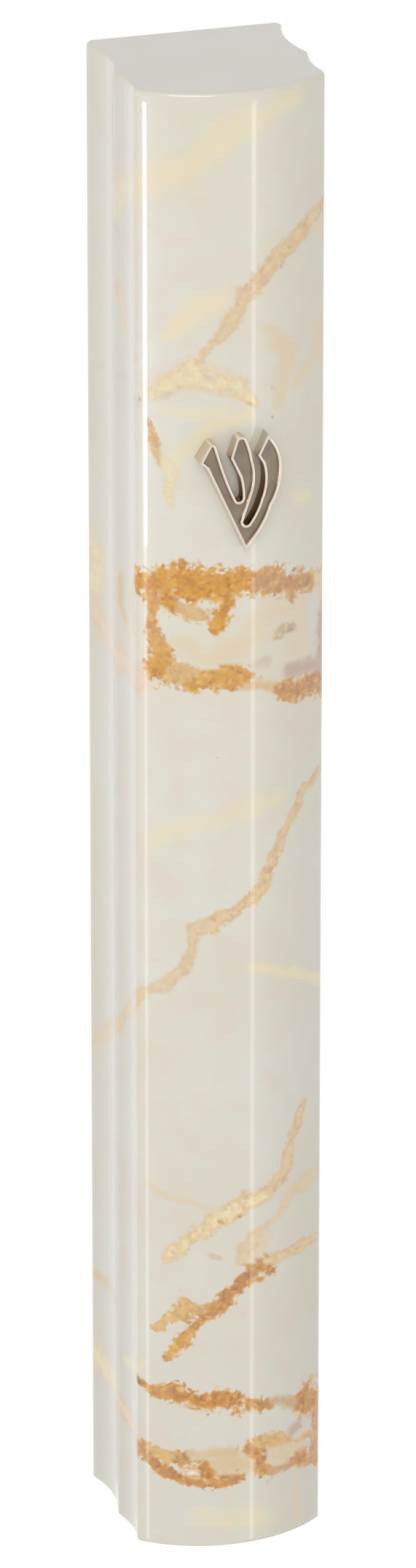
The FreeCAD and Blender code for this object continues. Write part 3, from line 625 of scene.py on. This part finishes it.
def vein_body(material, place, edge, cell, firm, ink):
    """Inside a vein: a yellower rim, broad darker patches, dark grains and pale flecks."""
    core = ramp(material, edge, 0.4, 0.8)
    core = maths(material, "MAXIMUM", core, maths(material, "SUBTRACT", 1.0, firm))
    body = blend(material, core, "#c89426", ink)
    patches = pattern(material, "TexNoise", place, 1.3, Detail=3.0, Roughness=0.6)
    patch = ramp(material, patches.outputs[0], 0.45, 0.7, 0.0, 0.5)
    dark = ramp(material, cell.outputs[2], 0.5, 1.0, 0.0, 0.5)
    pale = ramp(material, cell.outputs[1], 0.78, 0.97, 0.0, 0.45)
    for share, tone, blend_type in (
        (patch, "#d2a850", "MULTIPLY"),
        (dark, "#cb9646", "MULTIPLY"),
        (pale, "#d4aa56", "MIX"),
    ):
        body = blend(material, maths(material, "MULTIPLY", share, firm), body, tone, blend_type)
    return body


def marble_film():
    """Printed marble film fused to glossy ABS: an ivory ground with soft clouds, granular amber
    and tan veins, and a clear, wet-looking surface that shows lights as thin bright lines."""
    material, shader = new_material(
        "printed marble film on ABS",
        {
            "Roughness": 0.3,
            "IOR": 1.53,
            "Coat Weight": 1.0,
            "Coat Roughness": 0.03,
            "Coat IOR": 1.5,
        },
    )
    place = object_place(material)
    ink = add(material, "Attribute", attribute_name="vein_ink")
    near = add(material, "Attribute", attribute_name="vein_nearness").outputs["Fac"]
    ground = marble_ground(material, place)

    # The more solid an ink, the firmer its edge and the coarser its half-millimetre grains.
    solid = ink.outputs["Alpha"]
    firm = ramp(material, solid, 0.5, 0.85)
    wobble = pattern(material, "TexNoise", place, 2.4, Detail=5.0, Roughness=0.65)
    bent = add(
        material, "Mix", {0: 0.0005, 4: place, 5: wobble.outputs[1]}, data_type="VECTOR"
    )
    cells = pattern(material, "TexVoronoi", bent.outputs[1], 0.5)
    cell = add(material, "SeparateColor", {0: cells.outputs["Color"]})
    edge = vein_edge(material, near, wobble.outputs[0], cell.outputs[0], firm)
    outer_limit = ramp(material, firm, 0.0, 1.0, 0.05, 0.3)
    inner_limit = ramp(material, firm, 0.0, 1.0, 0.95, 0.58)
    cover = ramp(material, edge, outer_limit, inner_limit, smooth=True)
    cover = maths(material, "MULTIPLY", cover, solid)
    body = vein_body(material, place, edge, cell, firm, ink.outputs["Color"])
    feed(material, blend(material, cover, ground, body), shader.inputs["Base Color"])
    return material


def ivory_abs():
    """Plain ivory ABS as moulded: the top, the rims and the inside, satin and a little greyer."""
    material, shader = new_material(
        "moulded ivory ABS", {"Roughness": 0.32, "IOR": 1.53, "Base Color": linear("#c4c1bb")}
    )
    place = object_place(material)
    flow = pattern(material, "TexNoise", place, 9, Detail=2.0, Roughness=0.5).outputs[0]
    feed(material, blend(material, flow, "#c4c1bb", "#bebab2"), shader.inputs["Base Color"])
    grain = pattern(material, "TexNoise", place, 0.4, Detail=2.0, Roughness=0.6).outputs[0]
    raise_grain(material, shader, grain, 0.08, 0.02)
    return material


def make_shell():
    bm = build_shell_mesh()
    flatten_nut_seats(bm)
    for face in bm.faces:
        middle = face.calc_center_median()
        skin = is_outside(middle) and abs(face.normal.z) < 0.75
        face.material_index = 0 if skin else 1
    piece = to_piece(
        bm,
        "marble_shell",
        "case",
        [marble_film(), ivory_abs()],
        replaces=["front_shell"],
    )
    paint_veins(piece.data)
    return piece


# ---------------------------------------------------------------- the raised letter

LETTER_FRONT = letter_low.y
RIM_WIDTH = 0.3
RECESS_SLOPE = 0.10
RECESS_DEPTH = 0.42
ARRIS_ROUND = 0.09
BOW_GAP = 0.02  # keeps the letter's back just off the bow
PEG_RADIUS = 0.65
PEG_END = -20.2

# Corners of the letter, counter-clockwise from its foot: across and up from its centre, and
# how far the edge to the next corner bends, to its left if positive.
LETTER_OUTLINE = [
    (0.6, -7.0, 0),
    (1.4, -5.9, -0.25),
    (3.6, -1.9, -0.45),
    (4.75, 3.4, -0.12),
    (4.05, 5.5, 0),
    (3.2, 6.75, 0),
    (2.0, 4.3, 0),
    (2.6, 3.3, 0.35),
    (2.4, -0.9, 0.15),
    (0.95, -3.85, 0.3),
    (0.3, -3.45, 0),
    (1.3, -0.4, -0.35),
    (1.4, 3.8, -0.1),
    (0.6, 6.5, -0.4),
    (-0.6, 6.2, 0),
    (-1.2, 4.3, 0),
    (-0.1, 1.9, 0.1),
    (0.2, -0.7, 0.35),
    (-0.6, -0.7, 0.1),
    (-2.5, 4.5, 0),
    (-2.9, 5.8, -0.4),
    (-3.8, 5.8, 0),
    (-4.8, 4.0, 0),
    (-4.0, 3.3, 0),
]


def is_in_gap(point):
    """True on the walls that two arms of the letter share a gap between."""
    from_left = point.x - (-4.0 + (3.3 - point.y) * 0.447)
    to_right = 1.6 + (point.y + 4.3) * 0.35 - point.x
    return point.y < 4.35 and from_left > 0.7 and to_right > 0


def bright_nickel():
    """Bright nickel plate on the polished rim of a zinc casting: pale, warm and mirror-like,
    with the slight ripple that hand polishing leaves."""
    material, shader = new_material(
        "bright nickel plate on zinc",
        {"Base Color": linear("#dccfc0"), "Metallic": 1.0, "Roughness": 0.12},
    )
    place = object_place(material)
    ripple = pattern(material, "TexNoise", place, 0.8, Detail=2.0).outputs[0]
    raise_grain(material, shader, ripple, 0.25, 0.03)
    feed(material, ramp(material, ripple, 0.0, 1.0, 0.08, 0.2), shader.inputs["Roughness"])
    return material


def satin_nickel():
    """Nickel plate over the cast, unpolished recess: greyer, with a fine satin grain."""
    material, shader = new_material(
        "satin nickel plate on cast zinc",
        {"Base Color": linear("#8d857c"), "Metallic": 1.0, "Roughness": 0.3},
    )
    place = object_place(material)
    cast = pattern(material, "TexNoise", place, 2.2, Detail=2.0).outputs[0]
    feed(material, blend(material, cast, "#6f6558", "#968a7b"), shader.inputs["Base Color"])
    grain = pattern(material, "TexNoise", place, 0.25, Detail=4.0, Roughness=0.6).outputs[0]
    raise_grain(material, shader, grain, 0.3, 0.03)
    return material


def gap_nickel_painted_shade():
    """Nickel plate on the walls deep in the letter's gaps, with painted shade: brown and dull, as
    the shade falls between the arms.
    """
    material, shader = new_material(
        "nickel plate with painted shade in the gaps",
        {"Base Color": linear("#7a5a33"), "Metallic": 1.0, "Roughness": 0.28},
    )
    place = object_place(material)
    cast = pattern(material, "TexNoise", place, 1.4, Detail=3.0).outputs[0]
    feed(material, blend(material, cast, "#5d4324", "#94703c"), shader.inputs["Base Color"])
    return material


def draw_letter(bm):
    """The letter's closed outline, flat, with its bent edges in short steps."""
    across, up, bend = LETTER_OUTLINE[0]
    spot = bm.verts.new((across, up, 0))
    for next_across, next_up, next_bend in LETTER_OUTLINE[1:] + LETTER_OUTLINE[:1]:
        end = Vector((next_across, next_up, 0))
        if bend:
            steps = max(4, round((end - spot.co).length / 0.45))
            spot = arc_to(bm, spot, arc_centre(spot.co, end, bend), end, steps)
        else:
            spot = line_to(bm, spot, end)
        bend = next_bend
    bmesh.ops.remove_doubles(bm, verts=bm.verts, dist=1e-3)


def make_letter():
    bm = bmesh.new()
    draw_letter(bm)
    face = bmesh.ops.contextual_create(bm, geom=bm.edges[:])["faces"][0]
    if face.normal.z < 0:
        face.normal_flip()
    sides = bmesh.ops.extrude_face_region(bm, geom=[face], use_keep_orig=True)["geom"]
    front = next(f for f in sides if isinstance(f, bmesh.types.BMFace))
    back_verts = face.verts[:]
    bmesh.ops.translate(bm, vec=(0, 0, -1), verts=back_verts)
    bmesh.ops.recalc_face_normals(bm, faces=bm.faces)
    bmesh.ops.inset_region(bm, faces=[front], thickness=RIM_WIDTH, use_even_offset=True)
    bmesh.ops.inset_region(
        bm, faces=[front], thickness=RECESS_SLOPE, depth=-RECESS_DEPTH, use_even_offset=True
    )
    rims = [
        e
        for e in bm.edges
        if all(abs(v.co.z) < 1e-4 for v in e.verts) and e.calc_face_angle() > 0.5
    ]
    round_edges(bm, rims, ARRIS_ROUND, 3)
    for face in bm.faces:
        middle = face.calc_center_median()
        if middle.z > 0.02 - RECESS_DEPTH:
            continue
        if abs(face.normal.z) > 0.5:
            face.material_index = 1
        # The walls deep in the gaps between the arms take the nickel with painted shade.
        elif is_in_gap(middle):
            face.material_index = 2
    for across, up in PEG_PLACES:
        peg = bmesh.ops.create_cone(
            bm, cap_ends=True, segments=24, radius1=PEG_RADIUS, radius2=PEG_RADIUS, depth=1
        )
        for vert in peg["verts"]:
            end = PEG_END if vert.co.z < 0 else LETTER_FRONT + 1
            vert.co = Vector((vert.co.x + across, vert.co.y + up, LETTER_FRONT - end))
    upright = Matrix.Rotation(math.pi / 2, 3, "X")
    bmesh.ops.rotate(bm, cent=(0, 0, 0), matrix=upright, verts=bm.verts)
    place = LETTER_CENTRE + Vector((0, LETTER_FRONT, 0))
    bmesh.ops.translate(bm, vec=place, verts=bm.verts)
    for vert in back_verts:
        vert.co.y = bow_centre.y - math.sqrt(bow_radius**2 - vert.co.x**2) + BOW_GAP
    return to_piece(
        bm,
        "nickel_letter",
        "case",
        [bright_nickel(), satin_nickel(), gap_nickel_painted_shade()],
        sharp_degrees=28.0,
        replaces=["shin_letter"],
    )


# ---------------------------------------------------------------- what the shell hides


def spring_steel():
    """Stamped spring steel with a bright, oiled surface and faint rolling lines."""
    material, shader = new_material(
        "bright spring steel",
        {"Base Color": linear("#9fa0a3"), "Metallic": 1.0, "Roughness": 0.32},
    )
    place = object_place(material)
    stretched = add(material, "Mapping", {"Vector": place, "Scale": (1.0, 1.0, 12.0)})
    lines = pattern(material, "TexNoise", stretched.outputs[0], 1.5, Detail=3.0).outputs[0]
    feed(material, ramp(material, lines, 0.0, 1.0, 0.22, 0.45), shader.inputs["Roughness"])
    return material


def white_abs():
    """White ABS, injection moulded against a spark-eroded tool: satin with a fine even grain."""
    material, shader = new_material(
        "spark-textured white ABS",
        {"Base Color": linear("#dcdad2"), "Roughness": 0.45, "IOR": 1.53},
    )
    place = object_place(material)
    inputs = {"Vector": place, "Scale": per_mm(0.35)}
    grain = add(material, "TexVoronoi", inputs, feature="SMOOTH_F1").outputs["Distance"]
    raise_grain(material, shader, grain, 0.35, 0.03)
    flow = pattern(material, "TexNoise", place, 12, Detail=2.0).outputs[0]
    feed(material, blend(material, flow, "#dfddd6", "#d5d2c8"), shader.inputs["Base Color"])
    return material


def foam():
    """Closed-cell polyethylene foam: matt white with small dimples where its cells are cut."""
    material, shader = new_material(
        "closed-cell polyethylene foam",
        {"Base Color": linear("#e2e1dc"), "Roughness": 0.9, "IOR": 1.5},
    )
    place = object_place(material)
    cells = pattern(material, "TexVoronoi", place, 0.3).outputs["Distance"]
    feed(material, blend(material, cells, "#cfcdc6", "#e8e7e2"), shader.inputs["Base Color"])
    raise_grain(material, shader, cells, 0.6, 0.08)
    return material


def release_paper():
    """Siliconised kraft release paper: honey-coloured fibres under a slippery sheen."""
    material, shader = new_material(
        "siliconised kraft paper",
        {
            "Base Color": linear("#d9c79d"),
            "Roughness": 0.5,
            "IOR": 1.45,
            "Coat Weight": 0.35,
            "Coat Roughness": 0.25,
        },
    )
    place = object_place(material)
    stretched = add(material, "Mapping", {"Vector": place, "Scale": (4.0, 1.0, 1.0)}).outputs[0]
    fibres = pattern(material, "TexNoise", stretched, 1.6, Detail=6.0, Roughness=0.7).outputs[0]
    tone = blend(material, ramp(material, fibres, 0.35, 0.65), "#cdb988", "#e3d4ae")
    feed(material, tone, shader.inputs["Base Color"])
    raise_grain(material, shader, fibres, 0.15, 0.03)
    return material


def white_rubber():
    """Silicone rubber from a matt mould: off-white, soft sheen, a few dust specks."""
    material, shader = new_material(
        "matt silicone rubber",
        {
            "Base Color": linear("#d9d4c9"),
            "Roughness": 0.62,
            "IOR": 1.41,
            "Sheen Weight": 0.15,
            "Sheen Roughness": 0.5,
        },
    )
    place = object_place(material)
    grain = pattern(material, "TexNoise", place, 0.5, Detail=5.0).outputs[0]
    raise_grain(material, shader, grain, 0.3, 0.05)
    tone = blend(material, ramp(material, grain, 0.66, 0.74), "#d9d4c9", "#b9b2a4")
    feed(material, tone, shader.inputs["Base Color"])
    return material


def parchment_skin():
    """Scraped parchment: warm cream with darker clouds, fine hair pores and a dry surface."""
    material, shader = new_material(
        "scraped parchment",
        {"Base Color": linear("#d8c39a"), "Roughness": 0.7, "IOR": 1.5},
    )
    place = object_place(material)
    clouds = pattern(material, "TexNoise", place, 7, Detail=5.0, Roughness=0.6).outputs[0]
    tone = blend(material, ramp(material, clouds, 0.3, 0.7), "#c7ab78", "#e6d7b4")
    pores = pattern(material, "TexVoronoi", place, 0.9).outputs["Distance"]
    speckled = blend(material, ramp(material, pores, 0.08, 0.2), "#a98d5f", tone)
    feed(material, speckled, shader.inputs["Base Color"])
    raise_grain(material, shader, clouds, 0.4, 0.1)
    return material


def clear_film():
    """Clear polyethylene film: thin, see-through and glossy."""
    return new_material(
        "clear polyethylene film",
        {
            "Base Color": linear("#f4f6f6"),
            "Roughness": 0.06,
            "IOR": 1.5,
            "Transmission Weight": 1.0,
            "Alpha": 0.35,
        },
    )[0]


SHEET = 0.35  # thickness of the parchment
PITCH = 0.6  # from one turn of the roll to the next
HALF_TURNS = 7
ROLL_ROWS = 60
END_TRIM = 0.12  # how uneven the ends of the roll are
FILM = 0.12  # thickness of the clear tube
FILM_RIPPLE = 0.03

roll_radius = scroll_high.x
roll_axis = Vector((0, (sleeve_low.y + sleeve_high.y) / 2, 0))


def draw_spiral(bm, radius):
    """Half circles about two centres in turn, each smaller by half the pitch."""
    x = radius
    side = 1
    start = spot = bm.verts.new((x, 0, 0))
    for _ in range(HALF_TURNS):
        centre = Vector((x - side * radius, 0, 0))
        for end in ((centre.x, side * radius, 0), (centre.x - side * radius, 0, 0)):
            spot = arc_to(bm, spot, centre, end, 8)
        x = centre.x - side * radius
        radius -= PITCH / 2
        side = -side
    return start, spot


def make_roll():
    """The blank parchment, rolled up, with the slightly uneven ends of a hand-cut skin."""
    bm = bmesh.new()
    outer_start, outer_end = draw_spiral(bm, roll_radius)
    inner_start, inner_end = draw_spiral(bm, roll_radius - SHEET)
    bmesh.ops.contextual_create(bm, geom=[outer_start, inner_start])
    bmesh.ops.contextual_create(bm, geom=[outer_end, inner_end])
    section = bm.edges[:]
    foot = bmesh.ops.contextual_create(bm, geom=section)["faces"]
    length = scroll_high.z - scroll_low.z
    raised = bmesh.ops.extrude_face_region(bm, geom=foot, use_keep_orig=True)["geom"]
    raised = [v for v in raised if isinstance(v, bmesh.types.BMVert)]
    bmesh.ops.translate(bm, vec=(0, 0, length), verts=raised)
    uprights = [e for e in bm.edges if abs(e.verts[0].co.z - e.verts[1].co.z) > 1]
    bmesh.ops.subdivide_edges(bm, edges=uprights, cuts=ROLL_ROWS, use_grid_fill=True)
    bmesh.ops.translate(bm, vec=roll_axis + Vector((0, 0, scroll_low.z)), verts=bm.verts)
    for vert in bm.verts:
        end_share = abs(vert.co.z - (scroll_low.z + length / 2)) / (length / 2)
        if end_share > 0.999:
            trim = END_TRIM * (1 + noise.noise(vert.co * 0.9))
            vert.co.z -= math.copysign(trim, vert.co.z - scroll_low.z - length / 2)
    return to_piece(
        bm,
        "rolled_parchment",
        "scroll",
        [parchment_skin()],
        replaces=["parchment_scroll"],
    )


def make_sleeve():
    """The clear tube round the roll, with faint lengthwise ripples."""
    bm = bmesh.new()
    outer = sleeve_high.x
    inner = outer - FILM
    bmesh.ops.create_grid(bm, x_segments=1, y_segments=40, size=0.5)
    for vert in bm.verts:
        across, along = vert.co.x + 0.5, vert.co.y + 0.5
        x = inner + (outer - inner) * across
        z = sleeve_low.z + (sleeve_high.z - sleeve_low.z) * along
        vert.co = Vector((x, 0, z))
    rim = [e for e in bm.edges if e.is_boundary]
    bmesh.ops.delete(bm, geom=bm.faces[:], context="FACES_ONLY")
    inside = [e for e in bm.edges if e not in set(rim)]
    bmesh.ops.delete(bm, geom=inside, context="EDGES")
    bmesh.ops.spin(
        bm,
        geom=bm.verts[:] + bm.edges[:],
        cent=(0, 0, 0),
        axis=UP,
        dvec=(0, 0, 0),
        angle=TURN,
        steps=72,
        use_merge=True,
    )
    bmesh.ops.remove_doubles(bm, verts=bm.verts, dist=1e-4)
    for vert in bm.verts:
        around = Vector((vert.co.x, vert.co.y, 0)).normalized()
        ripple = noise.noise(Vector((around.x * 4, around.y * 4, vert.co.z / 40)))
        vert.co -= around * FILM_RIPPLE * abs(ripple)
    bmesh.ops.translate(bm, vec=roll_axis, verts=bm.verts)
    return to_piece(
        bm,
        "film_sleeve",
        "scroll",
        [clear_film()],
        replaces=["scroll_sleeve"],
    )


def make_hidden_pieces():
    steel = spring_steel()
    finer_copy("emblem_push_nuts", "push_nuts", "case", steel, 0.06)
    finer_copy("back_plate", "wall_plate", "plate", white_abs(), 0.15)
    finer_copy("bottom_cork", "rubber_cork", "cork", white_rubber(), 0.18)
    foam_material = foam()
    paper = release_paper()
    for place in ("upper", "lower"):
        tape = place + "_foam_tape"
        pad = finer_copy(tape, tape + "_pad", "plate", foam_material, 0.08)
        liner = place + "_release_liner"
        finer_copy(liner, liner + "_sheet", "plate", paper, 0.02)
    make_roll()
    make_sleeve()


# ---------------------------------------------------------------- camera, floor and lights


# The case hangs in the air of the studio, as it would on a doorpost, well above the floor.
FLOOR_Z = -5.0
FLOOR_HALF = 200.0
# Azimuths of the narrow lights that draw the two bright lines down the bow.
LEFT_LINE = -56.2
RIGHT_LINE = 26.0


def make_camera():
    """A long lens from the upper left."""
    azimuth = math.radians(-16.81)
    elevation = math.radians(22.61)
    back = Vector(
        (
            math.sin(azimuth) * math.cos(elevation),
            -math.cos(azimuth) * math.cos(elevation),
            math.sin(elevation),
        )
    )
    data = bpy.data.cameras.new("camera")
    data.lens = 227.9
    data.sensor_width = 36.0
    camera = bpy.data.objects.new("camera", data)
    camera.location = (-0.3056, -1.0215, 0.4419)
    camera.rotation_mode = "QUATERNION"
    camera.rotation_quaternion = (-back).to_track_quat("-Z", "Y")
    bpy.context.scene.collection.objects.link(camera)
    bpy.context.scene.camera = camera


def make_floor():
    bm = bmesh.new()
    bmesh.ops.create_grid(bm, x_segments=1, y_segments=1, size=FLOOR_HALF)
    bmesh.ops.translate(bm, vec=(0, 0, FLOOR_Z), verts=bm.verts)
    mesh = bpy.data.meshes.new("floor")
    bm.to_mesh(mesh)
    bm.free()
    material, shader = new_material(
        "backlit white sweep",
        {
            "Base Color": linear("#f9f9f9"),
            "Roughness": 0.9,
            "Emission Color": linear("#ffffff"),
            "Emission Strength": 0.1,
        },
    )
    mesh.materials.append(material)
    floor = bpy.data.objects.new("floor", mesh)
    bpy.context.scene.collection.objects.link(floor)


def make_light(name, azimuth, distance, height, size, radiance):
    """A soft box that faces the case from an azimuth, hidden from the lens."""
    angle = math.radians(azimuth)
    outward = Vector((math.sin(angle), -math.cos(angle), 0))
    place = outward * distance + Vector((0, 0, height))
    aim = Vector((0, 0, 0 if height > 0.3 else height))
    data = bpy.data.lights.new(name, "AREA")
    data.shape = "RECTANGLE"
    data.size, data.size_y = size
    data.energy = radiance * math.pi * size[0] * size[1]
    light = bpy.data.objects.new(name, data)
    light.location = place
    light.rotation_euler = (aim - place).to_track_quat("-Z", "Y").to_euler()
    light.visible_camera = False
    bpy.context.scene.collection.objects.link(light)


def light_studio():
    world = bpy.data.worlds.new("studio")
    bpy.context.scene.world = world
    world.use_nodes = True
    background = world.node_tree.nodes["Background"]
    background.inputs["Color"].default_value = (1, 1, 1, 1)
    background.inputs["Strength"].default_value = 0.96
    make_light("key_softbox", -22, 1.2, 0.9, (0.8, 0.6), 3.4)
    make_light("left_line", LEFT_LINE, 0.30, -0.0305, (0.019, 0.085), 12.0)
    make_light("left_line_low", LEFT_LINE, 0.30, -0.165, (0.016, 0.19), 2.2)
    make_light("right_line", RIGHT_LINE, 0.40, -0.165, (0.024, 0.31), 1.9)
    make_light("right_line_top", RIGHT_LINE, 0.40, -0.045, (0.022, 0.014), 12.0)
    bpy.context.scene.view_settings.view_transform = "Standard"


make_camera()
make_floor()
light_studio()
make_shell()
make_letter()
make_hidden_pieces()
